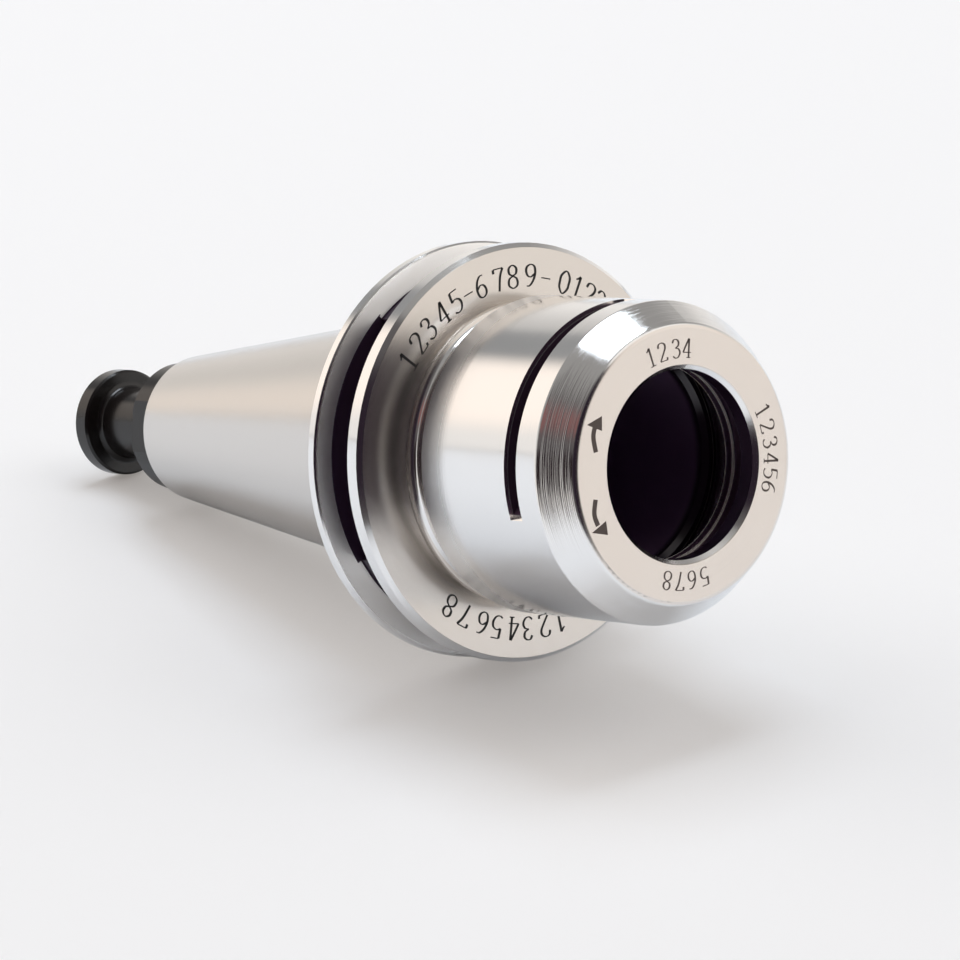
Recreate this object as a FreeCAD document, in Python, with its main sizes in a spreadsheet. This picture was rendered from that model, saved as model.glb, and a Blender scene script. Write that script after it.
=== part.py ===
"""Small high-speed collet chuck holder with a 7:24 taper, a clamping nut and a pull stud.

It stands on its nose: the nut's flat front face is the plane Z = 0, the axis of rotation is Z, and the
pull stud is at the top. Heights are measured from the nut's front face. All lengths are millimetres.
"""

import FreeCAD, Part
import Sketcher
import math
import os

SIZES = {
    # clamping nut, outside
    "nut_diameter": 28.0,
    "nut_length": 18.6,
    "nut_face_diameter": 24.1,
    "nut_cone_length": 3.0,
    "nut_face_round": 0.6,
    "nut_shoulder_round": 0.4,
    "nut_rear_chamfer": 0.2,
    # clamping nut, front bore, extraction lip and seat for the collet
    "nut_bore_diameter": 16.4,
    "nut_bore_chamfer": 0.4,
    "nut_wall_thickness": 1.9,
    "recess_width": 1.5,
    "recess_near_step": 0.1,
    "recess_far_step": 1.1,
    "lip_diameter": 17.2,
    "lip_width": 1.0,
    "seat_diameter": 21.5,
    "seat_length": 3.7,
    # thread between nut and nose, as its plain bore and the clearance of its plain shank
    "thread_diameter": 24.0,
    "thread_clearance": 0.05,
    "thread_relief_diameter": 24.6,
    "thread_relief_width": 1.2,
    "thread_chamfer": 0.6,
    # straight saw cut through the nut's wall
    "saw_cut_height": 6.35,
    "saw_cut_width": 1.6,
    "saw_cut_reach": 8.4,
    "saw_cut_direction": -58.25,
    # holder body, nose, neck and flange
    "nose_gap": 0.5,
    "neck_diameter": 25.0,
    "neck_gap": 0.3,
    "neck_fillet": 0.9,
    "flange_gap": 2.8,
    "flange_diameter": 37.0,
    "flange_width": 7.5,
    "flange_front_chamfer": 0.4,
    "flange_rear_chamfer": 0.3,
    # gripper groove round the flange
    "groove_front_land": 1.8,
    "groove_width": 4.5,
    "groove_floor_width": 3.9,
    "groove_floor_diameter": 32.6,
    "groove_edge_break": 0.15,
    # balancing pocket in the groove's floor, an arc of it
    "balance_pocket_width": 4.03,
    "balance_pocket_depth": 1.7,
    "balance_pocket_arc": 81.0,
    "balance_pocket_turn": 3.7,
    # taper shank, 7:24 on the diameter
    "gauge_diameter": 25.4,
    "taper_length": 40.6,
    "taper_end_chamfer": 0.3,
    # collet socket and the bores behind it
    "socket_mouth_diameter": 20.0,
    "socket_small_diameter": 13.0,
    "socket_depth": 24.9,
    "socket_mouth_chamfer": 0.4,
    "relief_bore_diameter": 13.4,
    "drill_point_length": 1.9,
    "through_bore_diameter": 6.8,
    "through_bore_length": 5.6,
    # pull stud
    "stud_thread_diameter": 8.0,
    "stud_thread_clearance": 0.05,
    "stud_hole_depth": 16.0,
    "stud_shank_length": 12.0,
    "stud_shank_chamfer": 0.8,
    "collar_diameter": 12.0,
    "collar_length": 3.3,
    "collar_chamfer": 0.3,
    "collar_flats": 11.0,
    "stud_neck_diameter": 6.6,
    "stud_neck_length": 8.25,
    "stud_neck_fillet": 0.6,
    "head_diameter": 10.0,
    "head_length": 1.85,
    "head_chamfer": 0.2,
}

TAPER_RATE = 7.0 / 24.0
FULL_TURN = 360
PAST_SURFACE = 1.2  # how far a cutter reaches, as a share of the radius that it cuts through
NEAR = 0.001


class Size:
    """A length with its value now and the sheet formula that keeps a model property equal to it."""

    def __init__(self, value, formula):
        self.value = value
        self.formula = formula

    def joined(self, other, sign, value):
        text = other.formula if isinstance(other, Size) else repr(float(other))
        return Size(value, f"({self.formula} {sign} {text})")

    def __add__(self, other):
        return self.joined(other, "+", self.value + number(other))

    def __sub__(self, other):
        return self.joined(other, "-", self.value - number(other))

    def __mul__(self, other):
        return self.joined(other, "*", self.value * number(other))

    def __truediv__(self, other):
        return self.joined(other, "/", self.value / number(other))

    def __neg__(self):
        return self * -1


def number(thing):
    return thing.value if isinstance(thing, Size) else thing


def write_sheet(document):
    sheet = document.addObject("Spreadsheet::Sheet", "Sizes")
    for row, (alias, value) in enumerate(SIZES.items(), 1):
        sheet.set(f"A{row}", alias.replace("_", " "))
        sheet.set(f"B{row}", str(value))
        sheet.setAlias(f"B{row}", alias)
    document.recompute()
    return sheet


def new_body(document, name):
    body = document.addObject("PartDesign::Body", name)
    body.Label = name
    return body


def origin_plane(body, role):
    return next(item for item in body.Origin.OriginFeatures if item.Role == role)


def outline(body, name, plane, corners):
    """A closed sketch of straight edges. Each corner is (across, up) in the plane; 0 puts it on the axis.
    A third entry rounds that corner with an arc of that radius, tangent to both edges."""
    sketch = body.newObject("Sketcher::SketchObject", name)
    sketch.AttachmentSupport = [(origin_plane(body, plane), "")]
    sketch.MapMode = "FlatFace"
    places = [FreeCAD.Vector(number(corner[0]), number(corner[1]), 0) for corner in corners]
    count = len(corners)
    for edge, start in enumerate(places):
        sketch.addGeometry(Part.LineSegment(start, places[(edge + 1) % count]), False)
    for edge, corner in enumerate(corners):
        if len(corner) == 2:
            sketch.addConstraint(Sketcher.Constraint("Coincident", (edge - 1) % count, 2, edge, 1))
            hold_point(sketch, edge, edge + 1, corner)
    for edge, corner in enumerate(corners):
        if len(corner) == 3:
            round_corner(sketch, edge, places, corner)
    return sketch


def round_corner(sketch, edge, places, corner):
    """Replaces the corner where an edge starts by an arc. A construction point keeps the corner's place."""
    count = len(places)
    before = (edge - 1) % count
    point = places[edge]
    radius = corner[2]
    back = (places[before] - point).normalize()
    ahead = (places[(edge + 1) % count] - point).normalize()
    half_angle = back.getAngle(ahead) / 2
    tangent_length = radius.value / math.tan(half_angle)
    centre = point + (back + ahead).normalize() * (radius.value / math.sin(half_angle))
    middle = centre + (point - centre).normalize() * radius.value
    ends = (point + back * tangent_length, point + ahead * tangent_length)
    sketch.moveGeometry(before, 2, ends[0], False)
    sketch.moveGeometry(edge, 1, ends[1], False)
    arc = sketch.addGeometry(Part.Arc(ends[0], middle, ends[1]), False)
    mark = sketch.addGeometry(Part.Point(point), True)
    first, last = (1, 2) if back.cross(ahead).z < 0 else (2, 1)
    sketch.addConstraint(Sketcher.Constraint("PointOnObject", mark, 1, before))
    sketch.addConstraint(Sketcher.Constraint("PointOnObject", mark, 1, edge))
    sketch.addConstraint(Sketcher.Constraint("Tangent", before, 2, arc, first))
    sketch.addConstraint(Sketcher.Constraint("Tangent", arc, last, edge, 1))
    held = sketch.addConstraint(Sketcher.Constraint("Radius", arc, radius.value))
    sketch.renameConstraint(held, f"corner_{edge + 1}_radius")
    sketch.setExpression(f"Constraints.corner_{edge + 1}_radius", radius.formula)
    hold_point(sketch, mark, edge + 1, corner)


def hold_point(sketch, geometry, label, corner):
    """Fixes the first point of a piece of geometry at the corner's distances from the two axes."""
    hold_distance(sketch, geometry, "DistanceX", corner[0], -2, f"corner_{label}_across")
    hold_distance(sketch, geometry, "DistanceY", corner[1], -1, f"corner_{label}_up")


def hold_distance(sketch, geometry, kind, distance, axis, label):
    if not isinstance(distance, Size):
        sketch.addConstraint(Sketcher.Constraint("PointOnObject", geometry, 1, axis))
        return
    held = Sketcher.Constraint(kind, -1, 1, geometry, 1, distance.value)
    sketch.renameConstraint(sketch.addConstraint(held), label)
    sketch.setExpression(f"Constraints.{label}", distance.formula)


def lift(sketch, height):
    """Puts a horizontal sketch at its height along the axis of rotation."""
    sketch.AttachmentOffset = FreeCAD.Placement(
        FreeCAD.Vector(0, 0, height.value), FreeCAD.Rotation(FreeCAD.Vector(0, 0, 1), 0)
    )
    sketch.setExpression("AttachmentOffset.Base.z", height.formula)


def turned(body, kind, name, sketch, arc=None):
    """The sketch turned about the axis of rotation, all the way or through an arc whose middle is the
    sketch: a Revolution adds, a Groove cuts."""
    before = body.Shape.Volume if body.Shape.Solids else 0
    feature = body.newObject(f"PartDesign::{kind}", name)
    feature.Profile = sketch
    feature.ReferenceAxis = (sketch, ["V_Axis"])
    feature.Angle = arc.value if arc else FULL_TURN
    if arc:
        feature.Midplane = True
        feature.setExpression("Angle", arc.formula)
    body.Document.recompute()
    if kind == "Groove":
        require_cut(feature, before)
    return feature


def pocket(body, name, sketch, depth):
    """A cut that reaches half its depth to each side of its sketch."""
    before = body.Shape.Volume
    feature = body.newObject("PartDesign::Pocket", name)
    feature.Profile = sketch
    feature.SideType = "Symmetric"
    feature.Length = depth.value
    feature.setExpression("Length", depth.formula)
    body.Document.recompute()
    require_cut(feature, before)
    return feature


def require_cut(feature, before):
    if not feature.Shape.Volume < before - NEAR:
        raise RuntimeError(f"{feature.Name} cuts nothing")


def ring_edges(body, radius, height):
    """Names of the round edges of this radius about the axis at this height."""
    names = []
    for index, edge in enumerate(body.Tip.Shape.Edges, 1):
        curve = edge.Curve
        if not isinstance(curve, Part.Circle):
            continue
        same_radius = abs(curve.Radius - radius.value) < NEAR
        same_height = abs(curve.Center.z - height.value) < NEAR
        on_axis = abs(curve.Center.x) + abs(curve.Center.y) < NEAR
        if same_radius and same_height and on_axis:
            names.append(f"Edge{index}")
    if not names:
        raise RuntimeError(f"no ring of radius {radius.value} at height {height.value}")
    return names


def dressed(body, kind, name, rings, amount):
    """A Fillet or Chamfer on the rings, each given by its radius and height."""
    edges = [edge for radius, height in rings for edge in ring_edges(body, radius, height)]
    base = body.Tip
    feature = body.newObject(f"PartDesign::{kind}", name)
    feature.Base = (base, edges)
    measure = "Radius" if kind == "Fillet" else "Size"
    setattr(feature, measure, amount.value)
    feature.setExpression(measure, amount.formula)
    body.Document.recompute()
    return feature


def clamping_nut(document, size):
    """Turned nut: the front wall, the extraction lip, the seat cone and the thread bore, in one piece."""
    body = new_body(document, "clamping_nut")
    outside = size("nut_diameter") / 2
    face = size("nut_face_diameter") / 2
    bore = size("nut_bore_diameter") / 2
    lip = size("lip_diameter") / 2
    seat = size("seat_diameter") / 2
    relief = size("thread_relief_diameter") / 2
    thread = size("thread_diameter") / 2
    rear = size("nut_length")
    wall_rear = size("nut_wall_thickness")
    lip_rear = wall_rear + size("recess_width") + size("lip_width")
    shoulder = lip_rear + size("seat_length")
    relief_rear = shoulder + size("thread_relief_width")
    corners = [
        (bore, 0),
        (face, 0),
        (outside, size("nut_cone_length"), size("nut_shoulder_round")),
        (outside, rear),
        (thread, rear),
        (thread, relief_rear),
        (relief, relief_rear),
        (relief, shoulder),
        (seat, shoulder),
        (lip, lip_rear),
        (lip, wall_rear),
        (bore, wall_rear),
    ]
    turned(body, "Revolution", "nut_turning", outline(body, "nut_section", "XZ_Plane", corners))
    dressed(body, "Chamfer", "nut_bore_edge", [(bore, Size(0, "0"))], size("nut_bore_chamfer"))
    dressed(body, "Fillet", "nut_face_edge", [(face, Size(0, "0"))], size("nut_face_round"))
    dressed(body, "Chamfer", "nut_rear_edge", [(outside, rear)], size("nut_rear_chamfer"))
    dressed(body, "Chamfer", "nut_thread_entry", [(thread, rear)], size("thread_chamfer"))
    extraction_recess(body, size, lip, wall_rear)
    saw_cut(body, size, outside)
    return body


def extraction_recess(body, size, lip, wall_rear):
    """Round recess behind the front wall. It is off centre towards the saw cut, so it is deep on that side
    and leaves a lip there that hooks behind the collet's front ring and pulls the collet out."""
    sketch = body.newObject("Sketcher::SketchObject", "recess_circle")
    sketch.AttachmentSupport = [(origin_plane(body, "XY_Plane"), "")]
    sketch.MapMode = "FlatFace"
    lift(sketch, wall_rear + size("recess_width") / 2)
    turn_to_cut(sketch, size)
    radius = lip + (size("recess_near_step") + size("recess_far_step")) / 2
    offset = (size("recess_far_step") - size("recess_near_step")) / 2
    centre = FreeCAD.Vector(offset.value, 0, 0)
    sketch.addGeometry(Part.Circle(centre, FreeCAD.Vector(0, 0, 1), radius.value), False)
    sketch.addConstraint(Sketcher.Constraint("PointOnObject", 0, 3, -1))
    sketch.addConstraint(Sketcher.Constraint("DistanceX", -1, 1, 0, 3, offset.value))
    sketch.addConstraint(Sketcher.Constraint("Radius", 0, radius.value))
    sketch.setExpression("Constraints[1]", offset.formula)
    sketch.setExpression("Constraints[2]", radius.formula)
    pocket(body, "extraction_recess", sketch, size("recess_width"))


def saw_cut(body, size, outside):
    """Straight cut of a slitting saw. Its flat floor runs out through the round wall at both ends."""
    reach = size("saw_cut_reach")
    clear = outside * PAST_SURFACE
    corners = [(reach, -outside), (clear, -outside), (clear, outside), (reach, outside)]
    sketch = outline(body, "saw_cut_area", "XY_Plane", corners)
    lift(sketch, size("saw_cut_height"))
    turn_to_cut(sketch, size)
    pocket(body, "saw_cut", sketch, size("saw_cut_width"))


def turn_to_cut(sketch, size):
    """Turns a horizontal sketch so that its first axis points at the middle of the saw cut."""
    direction = size("saw_cut_direction")
    about_axis = FreeCAD.Rotation(FreeCAD.Vector(0, 0, 1), direction.value)
    sketch.AttachmentOffset = FreeCAD.Placement(sketch.AttachmentOffset.Base, about_axis)
    sketch.setExpression("AttachmentOffset.Rotation.Yaw", direction.formula)


def holder_heights(size):
    """Heights that the body shares with what is seated on it."""
    seat_rear = size("nut_wall_thickness") + size("recess_width") + size("lip_width") + size("seat_length")
    nose = seat_rear + size("nose_gap")
    flange_front = size("nut_length") + size("flange_gap")
    flange_rear = flange_front + size("flange_width")
    taper_end = flange_rear + size("taper_length")
    return nose, flange_front, flange_rear, taper_end


def holder_body(document, size):
    """One ground piece: threaded nose, neck, flange, taper shank and the bores along its axis."""
    body = new_body(document, "holder_body")
    nose, flange_front, flange_rear, taper_end = holder_heights(size)
    thread = size("thread_diameter") / 2 - size("thread_clearance")
    neck = size("neck_diameter") / 2
    neck_front = size("nut_length") + size("neck_gap")
    flange = size("flange_diameter") / 2
    gauge = size("gauge_diameter") / 2
    small_end = gauge - size("taper_length") * TAPER_RATE / 2
    stud_hole = size("stud_thread_diameter") / 2
    stud_hole_front = taper_end - size("stud_hole_depth")
    through = size("through_bore_diameter") / 2
    relief = size("relief_bore_diameter") / 2
    drill_point = stud_hole_front - size("through_bore_length")
    relief_rear = drill_point - size("drill_point_length")
    socket_rear = nose + size("socket_depth")
    mouth = size("socket_mouth_diameter") / 2
    corners = [
        (mouth, nose),
        (thread, nose),
        (thread, neck_front),
        (neck, neck_front),
        (neck, flange_front),
        (flange, flange_front),
        (flange, flange_rear),
        (gauge, flange_rear),
        (small_end, taper_end),
        (stud_hole, taper_end),
        (stud_hole, stud_hole_front),
        (through, stud_hole_front),
        (through, drill_point),
        (relief, relief_rear),
        (relief, socket_rear),
        (size("socket_small_diameter") / 2, socket_rear),
    ]
    turned(body, "Revolution", "body_turning", outline(body, "body_section", "XZ_Plane", corners))
    gripper_groove(body, size, flange, flange_front)
    dressed(body, "Fillet", "neck_root", [(neck, flange_front)], size("neck_fillet"))
    dressed(body, "Chamfer", "flange_front_edge", [(flange, flange_front)], size("flange_front_chamfer"))
    dressed(body, "Chamfer", "flange_rear_edge", [(flange, flange_rear)], size("flange_rear_chamfer"))
    dressed(body, "Chamfer", "taper_end_edge", [(small_end, taper_end)], size("taper_end_chamfer"))
    dressed(body, "Chamfer", "nose_thread_entry", [(thread, nose)], size("thread_chamfer"))
    dressed(body, "Chamfer", "socket_mouth_edge", [(mouth, nose)], size("socket_mouth_chamfer"))
    return body


def gripper_groove(body, size, flange, flange_front):
    """Groove round the flange for the tool changer's fingers. Its walls open slightly outwards and its
    edges are broken."""
    floor = size("groove_floor_diameter") / 2
    front = flange_front + size("groove_front_land")
    rear = front + size("groove_width")
    draft = (size("groove_width") - size("groove_floor_width")) / 2
    edge_break = size("groove_edge_break")
    clear = flange * PAST_SURFACE
    corners = [
        (floor, front + draft),
        (flange - edge_break, front),
        (flange, front - edge_break),
        (clear, front - edge_break),
        (clear, rear + edge_break),
        (flange, rear + edge_break),
        (flange - edge_break, rear),
        (floor, rear - draft),
    ]
    turned(body, "Groove", "gripper_groove", outline(body, "groove_section", "XZ_Plane", corners))
    balance_pocket(body, size, flange, front + size("groove_width") / 2)


def balance_pocket(body, size, flange, middle):
    """Arc milled into the groove's floor on one side, which takes away the holder's unbalance. It is a
    little wider than the floor, so it also cuts into the feet of both sloped walls."""
    floor = size("groove_floor_diameter") / 2 - size("balance_pocket_depth")
    half = size("balance_pocket_width") / 2
    corners = [(-floor, middle - half), (-flange, middle - half), (-flange, middle + half), (-floor, middle + half)]
    sketch = outline(body, "pocket_section", "YZ_Plane", corners)
    turn = size("balance_pocket_turn")
    about_axis = FreeCAD.Rotation(FreeCAD.Vector(0, 1, 0), turn.value)
    sketch.AttachmentOffset = FreeCAD.Placement(FreeCAD.Vector(0, 0, 0), about_axis)
    sketch.setExpression("AttachmentOffset.Rotation.Pitch", turn.formula)
    turned(body, "Groove", "balance_pocket", sketch, size("balance_pocket_arc"))


def pull_stud(document, size):
    """Blackened stud screwed into the small end. The drawbar's balls close round its neck."""
    body = new_body(document, "pull_stud")
    taper_end = holder_heights(size)[-1]
    shank = size("stud_thread_diameter") / 2 - size("stud_thread_clearance")
    shank_front = taper_end - size("stud_shank_length")
    collar = size("collar_diameter") / 2
    collar_rear = taper_end + size("collar_length")
    neck = size("stud_neck_diameter") / 2
    head = size("head_diameter") / 2
    head_front = collar_rear + size("stud_neck_length")
    head_rear = head_front + size("head_length")
    corners = [
        (0, shank_front),
        (shank, shank_front),
        (shank, taper_end),
        (collar, taper_end),
        (collar, collar_rear),
        (neck, collar_rear),
        (neck, head_front),
        (head, head_front),
        (head, head_rear),
        (0, head_rear),
    ]
    turned(body, "Revolution", "stud_turning", outline(body, "stud_section", "XZ_Plane", corners))
    neck_roots = [(neck, collar_rear), (neck, head_front)]
    dressed(body, "Fillet", "stud_neck_roots", neck_roots, size("stud_neck_fillet"))
    dressed(body, "Chamfer", "shank_tip", [(shank, shank_front)], size("stud_shank_chamfer"))
    dressed(body, "Chamfer", "collar_rear_edge", [(collar, collar_rear)], size("collar_chamfer"))
    head_edges = [(head, head_front), (head, head_rear)]
    dressed(body, "Chamfer", "head_edges", head_edges, size("head_chamfer"))
    wrench_flats(body, size, taper_end)
    return body


def wrench_flats(body, size, taper_end):
    """Two parallel flats on the collar, for the spanner that tightens the stud."""
    flat = size("collar_flats") / 2
    clear = size("collar_diameter") / 2 * PAST_SURFACE
    corners = [(-clear, flat), (clear, flat), (clear, clear), (-clear, clear)]
    sketch = outline(body, "flat_area", "XY_Plane", corners)
    lift(sketch, taper_end + size("collar_length") / 2)
    flat_cut = pocket(body, "wrench_flat", sketch, size("collar_length"))
    before = flat_cut.Shape.Volume
    opposite = body.newObject("PartDesign::Mirrored", "wrench_flats")
    opposite.Originals = [flat_cut]
    opposite.MirrorPlane = (origin_plane(body, "XZ_Plane"), [""])
    body.Tip = opposite
    body.Document.recompute()
    require_cut(opposite, before)


def check(document, pieces):
    for item in document.Objects:
        if "Invalid" in item.State or "Error" in item.State:
            raise RuntimeError(f"{item.Name} failed: {item.State}")
    for piece in pieces:
        if piece.Shape.isNull() or not piece.Shape.isValid() or len(piece.Shape.Solids) != 1:
            raise RuntimeError(f"{piece.Label} is not one sound solid")


document = FreeCAD.newDocument("collet_chuck_holder")
sheet = write_sheet(document)


def size(alias):
    return Size(float(sheet.get(alias)), f"Sizes.{alias}")


pieces = [maker(document, size) for maker in (clamping_nut, holder_body, pull_stud)]
document.recompute()
check(document, pieces)
os.makedirs("parts", exist_ok=True)
for piece in pieces:
    piece.Shape.exportStep(f"parts/{piece.Label}.step")
    bounds = piece.Shape.BoundBox
    print(f"{piece.Label}: {piece.Shape.Volume:.1f} mm3, Z {bounds.ZMin:.2f} to {bounds.ZMax:.2f}")
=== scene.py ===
import math

import bpy
import numpy as np
from mathutils import Matrix, Vector


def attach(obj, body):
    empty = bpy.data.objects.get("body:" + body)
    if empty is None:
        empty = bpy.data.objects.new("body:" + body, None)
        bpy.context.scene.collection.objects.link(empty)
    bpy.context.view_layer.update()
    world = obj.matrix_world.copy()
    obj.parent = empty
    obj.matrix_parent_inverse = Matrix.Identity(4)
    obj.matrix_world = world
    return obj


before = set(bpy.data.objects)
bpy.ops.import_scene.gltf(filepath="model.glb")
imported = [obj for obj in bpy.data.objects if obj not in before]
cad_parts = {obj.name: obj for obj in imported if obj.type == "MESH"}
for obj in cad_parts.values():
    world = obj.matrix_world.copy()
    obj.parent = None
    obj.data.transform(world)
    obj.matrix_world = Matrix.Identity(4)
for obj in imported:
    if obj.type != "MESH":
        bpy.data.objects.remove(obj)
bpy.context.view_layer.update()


# Holder body
# One piece of hardened steel: taper shank, grooved flange, neck, threaded nose and collet socket.
# It is turned, then ground, which leaves a fine satin grain of rings about the axis. The rear corner
# of the groove and the pocket that is cut into its floor are painted black as painted shade, and the
# inside of the bore is painted dark as painted shade.

MM = 0.001


class Wire:
    """One output of a shader node. + - * / on wires and numbers add Math nodes, and node() adds any other."""

    def __init__(self, tree, socket=None):
        self.tree = tree
        self.socket = socket

    def node(self, kind, settings=None, sockets=None, output=0):
        made = self.tree.nodes.new("ShaderNode" + kind)
        for name, value in (settings or {}).items():
            setattr(made, name, value)
        for name, value in (sockets or {}).items():
            if isinstance(value, Wire):
                self.tree.links.new(value.socket, made.inputs[name])
            else:
                made.inputs[name].default_value = value
        return Wire(self.tree, made.outputs[output])

    def maths(self, operation, *values):
        return self.node("Math", {"operation": operation}, dict(enumerate(values)))

    def __add__(self, other):
        return self.maths("ADD", self, other)

    def __radd__(self, other):
        return self.maths("ADD", other, self)

    def __sub__(self, other):
        return self.maths("SUBTRACT", self, other)

    def __rsub__(self, other):
        return self.maths("SUBTRACT", other, self)

    def __mul__(self, other):
        return self.maths("MULTIPLY", self, other)

    def __rmul__(self, other):
        return self.maths("MULTIPLY", other, self)

    def __truediv__(self, other):
        return self.maths("DIVIDE", self, other)

    def rise(self, low, high):
        """0 below low, 1 above high, and smooth between."""
        sockets = {"Value": self, "From Min": low, "From Max": high}
        return self.node("MapRange", {"interpolation_type": "SMOOTHSTEP"}, sockets)

    def within(self, low, high, edge):
        """1 between low and high, and 0 outside, with edges that wide."""
        return self.rise(low - edge, low + edge) * (1 - self.rise(high - edge, high + edge))

    def blend(self, first, second):
        """The first colour where this wire is 0, and the second where it is 1. The Mix node's colour
        sockets share their names with its other sockets, so they are called by number."""
        settings = {"data_type": "RGBA", "clamp_factor": True}
        return self.node("Mix", settings, {0: self, 6: first, 7: second}, 2)


def axis_places(start):
    """Height along the axis, distance from it, and the two places across it, all in millimetres."""
    parts = start.node("SeparateXYZ", {}, {"Vector": start.node("TexCoord", output="Object")})
    x, y, height = (Wire(parts.tree, socket) * (1 / MM) for socket in parts.socket.node.outputs)
    squared = x * x + y * y
    return height, squared.maths("SQRT", squared), x, y


def rings(height, radius, x, y, spacing, drift=0.02):
    """Noise drawn out round the axis: it changes fast across the rings and slowly along them.
    Across them it reads height plus slant times radius, which changes on a cylinder, a cone and a face."""
    slant = 1.07
    across = (height + radius * slant) * (1 / spacing)
    place = across.node("CombineXYZ", {}, {"X": x * drift, "Y": y * drift, "Z": across})
    return place.node("TexNoise", {}, {"Vector": place, "Scale": 1.0, "Detail": 2.0, "Roughness": 0.6})


def clouds(start, scale, detail):
    """Soft uneven patches, at about that many to the metre."""
    place = start.node("TexCoord", output="Object")
    return start.node("TexNoise", {}, {"Vector": place, "Scale": scale, "Detail": detail})


def start_finish(name):
    """A new material with its Principled shader, and a wire to build its nodes from."""
    material = bpy.data.materials.new(name)
    material.use_nodes = True
    shader = material.node_tree.nodes["Principled BSDF"]
    return material, shader, Wire(material.node_tree)


def plug(shader, **wires):
    """Joins wires to the sockets of the Principled shader, and writes plain values into them."""
    tree = shader.id_data
    for name, value in wires.items():
        socket = shader.inputs[name.replace("_", " ")]
        if isinstance(value, Wire):
            tree.links.new(value.socket, socket)
        else:
            socket.default_value = value


def colour(red, green, blue):
    return (red, green, blue, 1.0)


def dress(node_name, material):
    """Gives a CAD node this material in every slot."""
    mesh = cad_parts[node_name].data
    mesh.materials.clear()
    mesh.materials.append(material)


# Heights from the nut's face and distances from the axis, in millimetres. The small numbers that are
# added to them further on are the widths of the soft edges between two finishes.
FLANGE_FRONT, FLANGE_REAR, FLANGE_RADIUS = 21.4, 28.9, 18.5
GAUGE_RADIUS, TAPER_SLOPE = 12.7, 7 / 48
SKIN, WIDEST_BORE = 1.0, 11.0
MOUTH_START, MOUTH_END = 9.2, 10.0
GROOVE_FRONT, GROOVE_REAR, GROOVE_BOTTOM = 23.3, 27.6, 13.5
WALL_BOTTOM, WALL_TOP = 14.0, 18.2
CORNER_START, CORNER_RADIUS = 26.4, 16.4
POCKET_RADIUS, POCKET_REAR, POCKET_RIM = 16.2, 27.465, 16.8
# The pocket's middle lies at this angle from -Y towards +X, and its ends at these cosines from there
POCKET_TURN = math.radians(4)
POCKET_END_FROM, POCKET_END_TO = 0.755, 0.762

BRIGHT_STEEL = colour(0.89, 0.885, 0.88)
SATIN_FACE = colour(0.78, 0.73, 0.68)
SATIN_TAPER = colour(0.69, 0.66, 0.63)
SATIN_WALL = colour(0.96, 0.95, 0.94)
# Painted shade inside the bore: near black up to MOUTH_START, dark purplish further in
PAINTED_MOUTH_SHADE = colour(0.03, 0.02, 0.033)
PAINTED_BORE_SHADE = colour(0.22, 0.14, 0.25)
# Painted shade: black for the shade in the groove's rear corner and in the pocket in its floor
PAINTED_GROOVE_SHADE = colour(0.030, 0.014, 0.033)

ground_steel, shader, start = start_finish("ground_steel")
height, radius, x, y = axis_places(start)
on_taper = height.rise(FLANGE_REAR + 0.02, FLANGE_REAR + 0.1)
front_face = height.within(FLANGE_FRONT - 0.2, FLANGE_FRONT + 0.02, 0.01)
taper_wall = GAUGE_RADIUS - SKIN - (height - FLANGE_REAR) * TAPER_SLOPE
inside = (taper_wall.maths("MINIMUM", taper_wall, WIDEST_BORE) - radius).rise(0.0, 0.2)

near_floor = height.within(GROOVE_FRONT - 0.12, GROOVE_REAR + 0.12, 0.02)
near_floor = near_floor * radius.rise(GROOVE_BOTTOM, GROOVE_BOTTOM + 0.2)
corner = height.rise(CORNER_START, CORNER_START + 0.2)
corner = corner * (1 - radius.rise(CORNER_RADIUS, CORNER_RADIUS + 0.06))
pocket = 1 - radius.rise(POCKET_RADIUS, POCKET_RADIUS + 0.06)
toward_pocket = (x * math.sin(POCKET_TURN) - y * math.cos(POCKET_TURN)) / radius
pocket_wall = height.within(POCKET_REAR - 0.008, POCKET_REAR + 0.008, 0.003)
pocket_wall = pocket_wall * (1 - radius.rise(POCKET_RIM, POCKET_RIM + 0.05))
pocket_wall = pocket_wall * toward_pocket.rise(POCKET_END_FROM, POCKET_END_TO)
# Painted shade: black in the groove's rear corner, in the pocket, and on the pocket's rear wall within the
# pocket's angle
black = (near_floor * corner + near_floor * pocket + pocket_wall).rise(0.0, 1.0)
groove_wall = height.within(GROOVE_FRONT - 0.2, GROOVE_REAR + 0.12, 0.02)
groove_wall = groove_wall * (1 - radius.rise(WALL_TOP, WALL_TOP + 0.1))
groove_wall = groove_wall * radius.rise(WALL_BOTTOM, WALL_BOTTOM + 0.2)

# Painted shade for the inside of the bore
bore_shade_tint = height.rise(MOUTH_START, MOUTH_END).blend(PAINTED_MOUTH_SHADE, PAINTED_BORE_SHADE)
tint = front_face.blend(BRIGHT_STEEL, SATIN_FACE)
tint = on_taper.blend(tint, SATIN_TAPER)
tint = inside.blend(tint, bore_shade_tint)
tint = groove_wall.blend(tint, SATIN_WALL)
tint = black.blend(tint, PAINTED_GROOVE_SHADE)
grain = rings(height, radius, x, y, 0.09) * 0.6 + rings(height, radius, x, y, 0.45) * 0.4
ring_depth = 0.05 + on_taper * 0.52 + groove_wall * 0.1
bump = start.node("Bump", {}, {"Strength": ring_depth, "Distance": 0.022 * MM, "Height": grain})
rough = 0.09 + grain * 0.04 + clouds(start, 160.0, 3.0) * 0.03
rough = rough + front_face * 0.10 + on_taper * 0.05 + groove_wall * 0.2
# Where the painted shade is, in the groove and inside the bore, the steel is made mostly non-metallic so that
# it stays dark
bare = 1 - black.maths("MAXIMUM", black, inside) * 0.85
plug(shader, Base_Color=tint, Metallic=bare, Roughness=rough, Normal=bump)
dress("holder_body", ground_steel)


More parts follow.
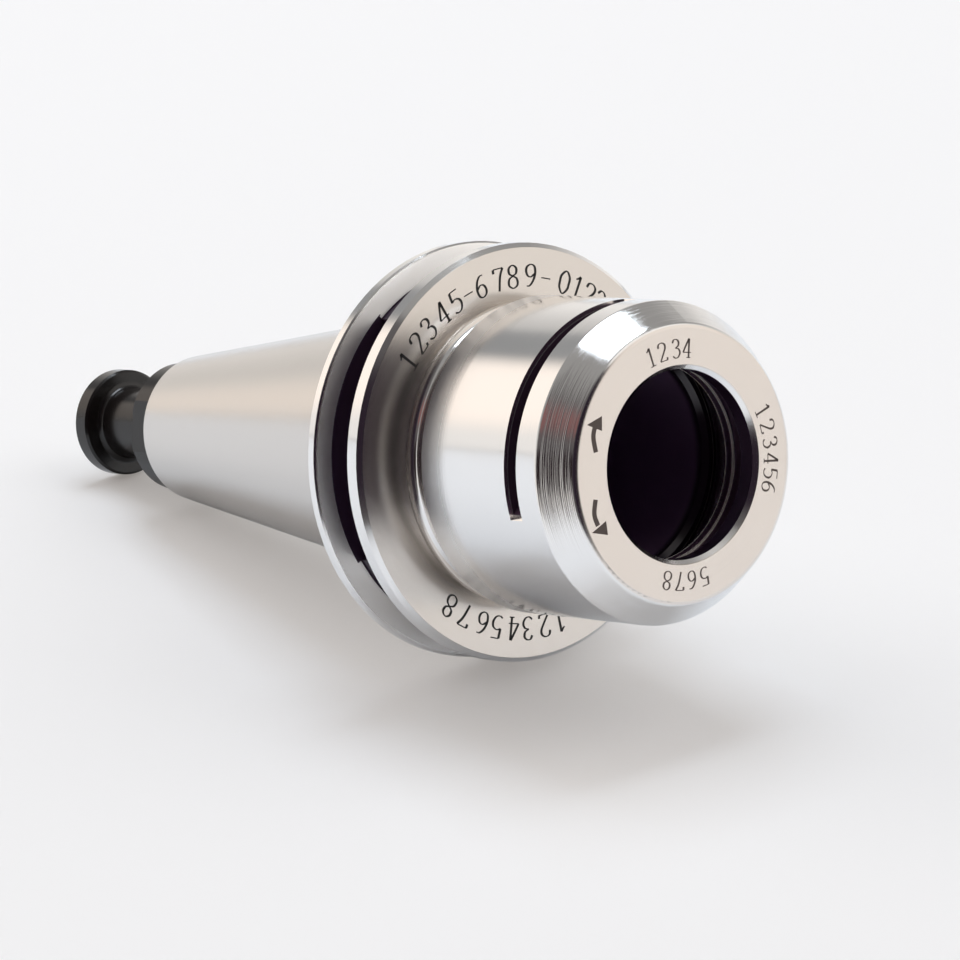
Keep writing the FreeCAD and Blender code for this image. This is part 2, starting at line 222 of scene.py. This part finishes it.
# Clamping nut
# One turned steel piece, screwed on the nose: flat satin face, front cone with plain turning marks,
# polished round outside with one straight saw cut, a duller rear end, and the collet's seat inside.
# The seat inside is painted dark as painted shade, except on the lip's two edges.

FACE_DEPTH, FACE_WALL_REAR = 0.02, 1.86
CONE_FRONT, CONE_REAR, CONE_INNER_RADIUS = 0.3, 2.8, 11.0
CUT_FRONT, CUT_REAR = 5.4, 7.3
INNER_RADIUS, LIP_RADIUS = 12.5, 8.74
LIP_EDGES = ((3.35, 3.56), (4.26, 4.48))
DULL_START, DULL_FULL, OUTSIDE_RADIUS = 14.8, 16.8, 13.0

POLISHED_STEEL = colour(0.90, 0.895, 0.89)
MARKED_FACE = colour(0.83, 0.77, 0.72)
# Painted shade for the collet's seat inside
PAINTED_INSIDE_SHADE = colour(0.09, 0.05, 0.085)
LIP_STEEL = colour(0.90, 0.87, 0.82)

nut_steel, shader, start = start_finish("nut_steel")
height, radius, x, y = axis_places(start)
face = 1 - height.rise(FACE_DEPTH, FACE_DEPTH + 0.1)
cone = height.within(CONE_FRONT, CONE_REAR, 0.25) * radius.rise(CONE_INNER_RADIUS, CONE_INNER_RADIUS + 0.4)
# Beside the saw cut the inside counts as reaching one millimetre further out
in_cut = height.within(CUT_FRONT, CUT_REAR, 0.1)
deep = 1 - (radius - in_cut).rise(INNER_RADIUS, INNER_RADIUS + 0.2)
deep = deep * height.rise(FACE_WALL_REAR, FACE_WALL_REAR + 0.06)
on_edges = sum(height.within(front, rear, 0.04) for front, rear in LIP_EDGES)
lip = (1 - radius.rise(LIP_RADIUS, LIP_RADIUS + 0.06)) * on_edges
rear_end = height.rise(DULL_START, DULL_FULL) * radius.rise(OUTSIDE_RADIUS, OUTSIDE_RADIUS + 0.4)

tint = face.blend(POLISHED_STEEL, MARKED_FACE)
# Painted shade: the seat inside is painted dark and below made partly non-metallic; the lip's two edges keep
# plain steel
tint = deep.blend(tint, PAINTED_INSIDE_SHADE)
tint = lip.blend(tint, LIP_STEEL)
grain = rings(height, radius, x, y, 0.10) * 0.4 + rings(height, radius, x, y, 0.24, 0.05) * 0.6
ring_depth = 0.10 + cone * 0.50 - face * 0.03
bump = start.node("Bump", {}, {"Strength": ring_depth, "Distance": 0.07 * MM, "Height": grain})
rough = 0.11 - cone * 0.05 + grain * 0.04 + clouds(start, 140.0, 3.0) * 0.03
rough = rough + face * 0.09 + lip * 0.35 + rear_end * 0.17
plug(shader, Base_Color=tint, Metallic=1 - deep * 0.6, Roughness=rough, Normal=bump)
dress("clamping_nut", nut_steel)


# Marks on the nut
# Fine dark lines that a laser leaves in the flat face: two turning arrows and three groups of
# counting digits. They turn with the nut.

# The strokes of each digit, as points in a box that is 0.6 wide and 1 high
GLYPHS = {
    "0": [[(0.30, 0.97), (0.09, 0.76), (0.06, 0.5), (0.09, 0.24), (0.30, 0.03), (0.51, 0.24), (0.54, 0.5),
           (0.51, 0.76), (0.30, 0.97)]],
    "1": [[(0.14, 0.82), (0.24, 0.88), (0.33, 0.98)], [(0.33, 0.98), (0.33, 0.5), (0.33, 0.02)],
          [(0.14, 0.02), (0.33, 0.02), (0.52, 0.02)]],
    "2": [[(0.07, 0.74), (0.13, 0.92), (0.32, 0.97), (0.49, 0.86), (0.50, 0.66), (0.34, 0.40), (0.07, 0.05)],
          [(0.07, 0.04), (0.32, 0.04), (0.55, 0.04)], [(0.55, 0.04), (0.57, 0.11), (0.57, 0.18)]],
    "3": [[(0.09, 0.80), (0.18, 0.95), (0.34, 0.96), (0.47, 0.84), (0.44, 0.64), (0.26, 0.53)],
          [(0.26, 0.53), (0.46, 0.47), (0.54, 0.27), (0.42, 0.07), (0.22, 0.03), (0.06, 0.14)]],
    "4": [[(0.42, 0.97), (0.24, 0.64), (0.05, 0.28)], [(0.05, 0.28), (0.30, 0.28), (0.58, 0.28)],
          [(0.43, 0.97), (0.43, 0.5), (0.43, 0.02)], [(0.29, 0.02), (0.43, 0.02), (0.56, 0.02)]],
    "5": [[(0.16, 0.95), (0.34, 0.95), (0.54, 0.95)], [(0.16, 0.95), (0.14, 0.75), (0.12, 0.54)],
          [(0.12, 0.54), (0.30, 0.60), (0.50, 0.50), (0.54, 0.28), (0.42, 0.08), (0.22, 0.03), (0.07, 0.10)]],
    "6": [[(0.49, 0.92), (0.33, 0.90), (0.16, 0.70), (0.07, 0.40), (0.12, 0.12), (0.30, 0.03), (0.49, 0.13),
           (0.53, 0.32), (0.44, 0.50), (0.28, 0.54), (0.11, 0.42)]],
    "7": [[(0.07, 0.78), (0.07, 0.86), (0.08, 0.95)], [(0.08, 0.95), (0.30, 0.95), (0.55, 0.95)],
          [(0.55, 0.95), (0.38, 0.60), (0.25, 0.02)]],
    "8": [[(0.30, 0.53), (0.13, 0.64), (0.12, 0.85), (0.30, 0.97), (0.48, 0.85), (0.47, 0.64), (0.30, 0.53),
           (0.10, 0.40), (0.08, 0.15), (0.30, 0.03), (0.52, 0.15), (0.50, 0.40), (0.30, 0.53)]],
    "9": [[(0.11, 0.08), (0.27, 0.10), (0.44, 0.30), (0.53, 0.60), (0.48, 0.88), (0.30, 0.97), (0.11, 0.87),
           (0.07, 0.68), (0.16, 0.50), (0.32, 0.46), (0.49, 0.58)]],
    "-": [[(0.06, 0.46), (0.30, 0.46), (0.54, 0.46)]],
}
GLYPH_MIDDLE = 0.30
PROUD, SUNK = 0.008, -0.02


def smooth_path(corners, steps=7):
    """Points on the cubic curve through the corners: between corners B and C, with neighbours A and D,
    the point at t is B + (C - A) t / 2 + (A - 5/2 B + 2 C - D/2) t^2 + (3 B - 3 C + D - A) t^3 / 2."""
    c = np.array(corners, float)
    closed = np.allclose(c[0], c[-1])
    before, after = (c[-2], c[1]) if closed else (2 * c[0] - c[1], 2 * c[-1] - c[-2])
    c = np.vstack([before, c, after])
    a, b, d, e = (c[k:len(c) - 3 + k, None, :] for k in range(4))
    t = np.linspace(0, 1, steps, endpoint=False)[None, :, None]
    curve = b + (d - a) * t / 2 + (a - 2.5 * b + 2 * d - e / 2) * t ** 2
    curve = curve + (3 * b - 3 * d + e - a) * t ** 3 / 2
    return np.vstack([curve.reshape(-1, 2), c[-2:-1]])


def engraved_bar(path, thin, thick):
    """A flat bar along a path. Its half width is thin, plus thick times how upright the path runs to the
    power 1.5. Its section is a rectangle from PROUD to SUNK: corner k of section i is vertex 4 i + k."""
    run = np.gradient(path, axis=0)
    run /= np.linalg.norm(run, axis=1, keepdims=True)
    across = np.stack([-run[:, 1], run[:, 0]], axis=1)
    half = thin + thick * np.abs(run[:, 1:2]) ** 1.5
    left, right = path + across * half, path - across * half
    level = np.ones((len(path), 1))
    corners = [np.hstack([left, level * PROUD]), np.hstack([right, level * PROUD]),
               np.hstack([right, level * SUNK]), np.hstack([left, level * SUNK])]
    points = np.stack(corners, axis=1).reshape(-1, 3)
    first = np.arange(len(path) - 1)[:, None] * 4
    k = np.arange(4)[None, :]
    after = (k + 1) % 4
    sides = np.stack([first + k, first + after, first + 4 + after, first + 4 + k], axis=2).reshape(-1, 4)
    last = 4 * (len(path) - 1)
    caps = np.array([(3, 2, 1, 0), (last, last + 1, last + 2, last + 3)])
    return points, np.vstack([sides, caps])


def round_the_axis(points, angle, foot_radius, face_height):
    """Wraps a flat mark on a face: its width goes back round the axis and its height goes outward.
    The angle is counted from the right of the picture, as the face is seen."""
    foot_to_middle = 0.8
    turn = math.radians(angle) - points[:, 0] / (foot_radius + foot_to_middle)
    out = foot_radius + points[:, 1]
    return np.stack([out * np.sin(turn), out * np.cos(turn), face_height - points[:, 2]], axis=1)


def digit_line(text, angles, foot_radius, face_height, height, thin, thick):
    """The bars of one line of digits, each one centred on its own angle round the axis."""
    bars = []
    for digit, angle in zip(text, angles):
        for corners in GLYPHS[digit]:
            path = (smooth_path(corners) - (GLYPH_MIDDLE, 0)) * height
            points, faces = engraved_bar(path, thin, thick)
            bars.append((round_the_axis(points, angle, foot_radius, face_height), faces.tolist()))
    return bars


def turning_arrow(shaft, barbs, tip, face_height):
    """An arrow on a face, from places given as (distance from the axis, angle): a bar along the shaft, and a
    wedge for the head whose corners are the two barbs and the tip."""
    half_width, wedge_gap = 0.24, 0.0005

    def on_face(places, level):
        out = np.array([place[0] for place in places], float)
        turn = np.radians([place[1] for place in places])
        flat = np.full(len(places), face_height - level)
        return np.stack([out * np.sin(turn), out * np.cos(turn), flat], axis=1)

    shaft_path = on_face(shaft, 0.0)[:, (1, 0)]
    points, faces = engraved_bar(smooth_path(shaft_path), half_width, 0.0)
    placed = np.stack([points[:, 1], points[:, 0], face_height - points[:, 2]], axis=1)
    head = (*barbs, tip)
    wedge = np.vstack([on_face(head, PROUD + wedge_gap), on_face(head, SUNK - wedge_gap)])
    wedge_faces = [(0, 1, 2), (5, 4, 3), (0, 3, 4, 1), (1, 4, 5, 2), (2, 5, 3, 0)]
    return [(placed, faces.tolist()), (wedge, wedge_faces)]


def joined_mesh(name, pieces):
    """One object from (points in millimetres, faces) pairs."""
    starts = np.cumsum([0] + [len(points) for points, _ in pieces[:-1]])
    points = np.vstack([points for points, _ in pieces]) * MM
    faces = []
    for start, (_, piece_faces) in zip(starts, pieces):
        faces += [[int(start) + corner for corner in face] for face in piece_faces]
    mesh = bpy.data.meshes.new(name)
    mesh.from_pydata(points.tolist(), [], faces)
    made = bpy.data.objects.new(name, mesh)
    bpy.context.scene.collection.objects.link(made)
    return made


NUT_FACE = 0.0
NUT_FOOT_RADIUS, NUT_DIGIT_HEIGHT = 9.14, 1.7
NUT_STROKES = (0.042, 0.052)
NUT_LINES = (
    ("1234", (114.3, 106.4, 97.5, 90.5)),
    ("5678", (-73.5, -82.0, -89.8, -98.1)),
    ("123456", (28.3, 19.8, 11.4, 3.4, -4.0, -11.0)),
)
bars = []
for text, angles in NUT_LINES:
    bars += digit_line(text, angles, NUT_FOOT_RADIUS, NUT_FACE, NUT_DIGIT_HEIGHT, *NUT_STROKES)
nut_digits = joined_mesh("nut_digits", bars)
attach(nut_digits, "nut")

upper = turning_arrow(shaft=((9.9, 174), (10.45, 167), (10.55, 161)), barbs=((11.43, 163), (9.68, 162.9)),
                      tip=(10.18, 156.2), face_height=NUT_FACE)
lower = turning_arrow(shaft=((10.15, -163), (10.65, -156.7), (10.68, -151)),
                      barbs=((9.72, -150.6), (11.53, -149.9)), tip=(10.14, -144), face_height=NUT_FACE)
nut_arrows = joined_mesh("nut_arrows", upper + lower)
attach(nut_arrows, "nut")


def line_finish(name, darker, lighter, metal, rough):
    """The finish of laser marks: two close dark colours in fine specks."""
    material, shader, start = start_finish(name)
    tint = clouds(start, 9000.0, 1.0).blend(darker, lighter)
    plug(shader, Base_Color=tint, Metallic=metal, Roughness=rough)
    return material


burnt_line = line_finish("burnt_line", colour(0.075, 0.055, 0.048), colour(0.16, 0.125, 0.11), 0.3, 0.5)
for mark in (nut_digits, nut_arrows):
    mark.data.materials.append(burnt_line)


# Marks on the flange
# The same kind of line, darker: counting digits and two dashes, in two arcs round the front face of
# the flange.

FLANGE_FOOT_RADIUS, FLANGE_DIGIT_HEIGHT = 14.5, 2.15
FLANGE_STROKES = (0.055, 0.07)
FLANGE_LINES = (
    ("12345-6789-0123", (149.5, 142.5, 136.3, 129, 122.4, 116.7, 111, 103.3, 97.4, 90, 83.5, 75.5, 69.8, 64.3,
                         59.4)),
    ("12345678", (-72.5, -79, -86.2, -92.2, -99.2, -105.5, -113.1, -120.5)),
)
bars = []
for text, angles in FLANGE_LINES:
    bars += digit_line(text, angles, FLANGE_FOOT_RADIUS, FLANGE_FRONT, FLANGE_DIGIT_HEIGHT, *FLANGE_STROKES)
flange_digits = joined_mesh("flange_digits", bars)
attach(flange_digits, "holder")
dark_line = line_finish("dark_line", colour(0.010, 0.009, 0.009), colour(0.022, 0.020, 0.019), 0.0, 0.6)
flange_digits.data.materials.append(dark_line)


# Pull stud
# One blackened steel piece, screwed into the small end and tightened by the two flats on its collar.
# The black oxide is slightly glossy, and a little browner where it is thin.

THICK_OXIDE = colour(0.004, 0.0035, 0.004)
THIN_OXIDE = colour(0.014, 0.011, 0.010)

black_steel, shader, start = start_finish("black_steel")
grain = rings(*axis_places(start), 0.12)
cloud = clouds(start, 260.0, 4.0)
bump = start.node("Bump", {}, {"Strength": 0.2, "Distance": 0.006 * MM, "Height": grain})
plug(shader, Base_Color=cloud.blend(THICK_OXIDE, THIN_OXIDE), Metallic=0.0,
     Roughness=0.11 + grain * 0.08 + cloud * 0.08, Normal=bump)
dress("pull_stud", black_steel)


# Camera
# Placed by fitting the ellipses of the object's circles. It looks at the nut from the front, from a
# little above, and its long lens gives the picture's flat perspective.

CAMERA_PLACE = Vector((19.556168, -347.030131, -399.960906)) * MM
look = Vector((-0.0404483, 0.629752, 0.7757423))
picture_right = Vector((0.0327916, 0.776796, -0.6288979))
picture_up = Vector((0.9986434, 0.0, 0.0520707))
camera = bpy.data.objects.new("camera", bpy.data.cameras.new("camera"))
bpy.context.scene.collection.objects.link(camera)
camera.data.lens = 232.53
camera.data.sensor_width = 36.0
camera.data.clip_start = 0.01
turn = Matrix((picture_right, picture_up, -look)).transposed().to_4x4()
camera.matrix_world = Matrix.Translation(CAMERA_PLACE) @ turn
bpy.context.scene.camera = camera


# Floor
# A plain pale sheet, seen from its upper side only, on which the object lies on its flange and its
# stud's head. For the camera a share of even pale glow keeps the shadow light, and in reflections
# the sheet fades out towards its front edge.

TILT = math.radians(22.2)
floor_up = (picture_up * math.cos(TILT) - look * math.sin(TILT)).normalized()
away = (picture_up * math.sin(TILT) + look * math.cos(TILT)).normalized()
side = away.cross(floor_up)
STUD_HEAD_RADIUS, STUD_HEAD_REAR = 5.0, 82.7
FLANGE_EDGE = 0.3
FLOOR_REACH, FLOOR_FRONT = 2.5, -0.2
FADE_FROM, FADE_TO = -0.14, -0.06
GLOW_SHARE = 0.26


def lowest(radius, height):
    """How far a circle about the axis reaches down, along the floor's upward direction."""
    return (height * floor_up.z - radius * math.sqrt(1 - floor_up.z ** 2)) * MM


floor_level = min(lowest(FLANGE_RADIUS, FLANGE_REAR - FLANGE_EDGE), lowest(STUD_HEAD_RADIUS, STUD_HEAD_REAR))
middle = Vector((0, 0, 45 * MM))
middle += floor_up * (floor_level - middle.dot(floor_up))
ends = ((-FLOOR_REACH, FLOOR_FRONT), (FLOOR_REACH, FLOOR_FRONT), (FLOOR_REACH, FLOOR_REACH),
        (-FLOOR_REACH, FLOOR_REACH))
corners = [middle + side * across + away * deep for across, deep in ends]
floor_mesh = bpy.data.meshes.new("floor")
floor_mesh.from_pydata([tuple(c) for c in corners], [], [(0, 1, 2, 3)])
if floor_mesh.polygons[0].normal.dot(floor_up) < 0:
    floor_mesh.flip_normals()
floor = bpy.data.objects.new("floor", floor_mesh)
bpy.context.scene.collection.objects.link(floor)

pale, shader, start = start_finish("pale_floor")
plug(shader, Base_Color=colour(0.83, 0.855, 0.885), Roughness=0.9)
plain = Wire(pale.node_tree, shader.outputs[0])
seen = start.node("LightPath", output="Is Camera Ray")
glow = start.node("Emission", {}, {"Color": colour(0.97, 0.90, 0.84)})
lit = start.node("MixShader", {}, {0: seen * GLOW_SHARE, 1: plain, 2: glow})
along = {"operation": "DOT_PRODUCT"}
place = start.node("TexCoord", output="Object")
deep_in = place.node("VectorMath", along, {0: place, 1: tuple(away)}, "Value") - middle.dot(away)
fading = (1 - deep_in.rise(FADE_FROM, FADE_TO)) * (1 - seen)
back = start.node("NewGeometry", output="Backfacing")
clear = start.node("BsdfTransparent")
both = start.node("MixShader", {}, {0: back.maths("MAXIMUM", back, fading), 1: lit, 2: clear})
pale.node_tree.links.new(both.socket, pale.node_tree.nodes["Material Output"].inputs["Surface"])
floor_mesh.materials.append(pale)


# Light
# A wide soft lamp overhead, two soft fills at the left and right that the metal doesn't mirror, and a
# pale room with a darker side behind the camera. The camera itself sees a plain pale background.

def studio_direction(azimuth, elevation):
    """A direction by its angle from straight away, to the right, and its height above the floor."""
    a, e = math.radians(azimuth), math.radians(elevation)
    return (away * math.cos(a) + side * math.sin(a)) * math.cos(e) + floor_up * math.sin(e)


def lamp(name, azimuth, elevation, distance, width, depth, radiance, tint):
    """A flat rectangular lamp that faces the object. Its power is radiance times area times pi."""
    data = bpy.data.lights.new(name, "AREA")
    data.shape = "RECTANGLE"
    data.size = width
    data.size_y = depth
    data.energy = radiance * width * depth * math.pi
    data.color = tint
    made = bpy.data.objects.new(name, data)
    bpy.context.scene.collection.objects.link(made)
    toward = studio_direction(azimuth, elevation)
    turned = toward.to_track_quat("Z", "Y").to_matrix().to_4x4()
    made.matrix_world = Matrix.Translation(middle + toward * distance) @ turned
    made.visible_camera = False
    return made


lamp("overhead", azimuth=2, elevation=71, distance=1.1, width=0.54, depth=0.58, radiance=5.1,
     tint=(0.92, 1.0, 1.09))
for name, azimuth, radiance in (("left_fill", -75, 1.25), ("right_fill", 70, 0.75)):
    fill = lamp(name, azimuth, elevation=50, distance=1.2, width=1.1, depth=1.1, radiance=radiance,
                tint=(1.04, 0.99, 0.95))
    fill.visible_glossy = False

world = bpy.data.worlds.new("studio")
bpy.context.scene.world = world
world.use_nodes = True
start = Wire(world.node_tree)
ray = start.node("TexCoord", output="Generated")


def facing(direction):
    """Cosine of the angle between the ray and a direction."""
    return ray.node("VectorMath", {"operation": "DOT_PRODUCT"}, {0: ray, 1: tuple(direction)}, "Value")


HORIZON = colour(0.91, 0.875, 0.84)
ZENITH = colour(0.31, 0.30, 0.29)
BACKGROUND = colour(0.90, 0.913, 0.93)
# Each patch of the room: its azimuth and elevation, the cosines where it starts and is full, its colour
ROOM = {
    "pale patch at the right": (105, 35, 0.72, 0.90, colour(1.0, 0.96, 0.92)),
    "grey patch at the left": (-34, 27, 0.972, 0.992, colour(0.30, 0.30, 0.30)),
    "warm patch low at the left": (-59, 18, 0.935, 0.985, colour(1.16, 1.04, 0.94)),
    "dark patch low at the right": (127, 2, 0.955, 0.985, colour(0.10, 0.095, 0.09)),
    "dim side behind the camera": (-178, 25, 0.64, 0.71, colour(0.11, 0.10, 0.10)),
    "reddish patch at the left": (-138, 41, 0.982, 0.994, colour(0.24, 0.105, 0.10)),
    "dark patch below it": (-144, 10, 0.966, 0.98, colour(0.02, 0.012, 0.014)),
    "darkest part behind the camera": (160, 20, 0.72, 0.82, colour(0.022, 0.014, 0.022)),
}
sky = facing(floor_up).rise(0.05, 0.62).blend(HORIZON, ZENITH)
for azimuth, elevation, starts, full, shade in ROOM.values():
    sky = facing(studio_direction(azimuth, elevation)).rise(starts, full).blend(sky, shade)
sky = start.node("LightPath", output="Is Camera Ray").blend(sky, BACKGROUND)
world.node_tree.links.new(sky.socket, world.node_tree.nodes["Background"].inputs["Color"])
bpy.context.scene.view_settings.view_transform = "Standard"
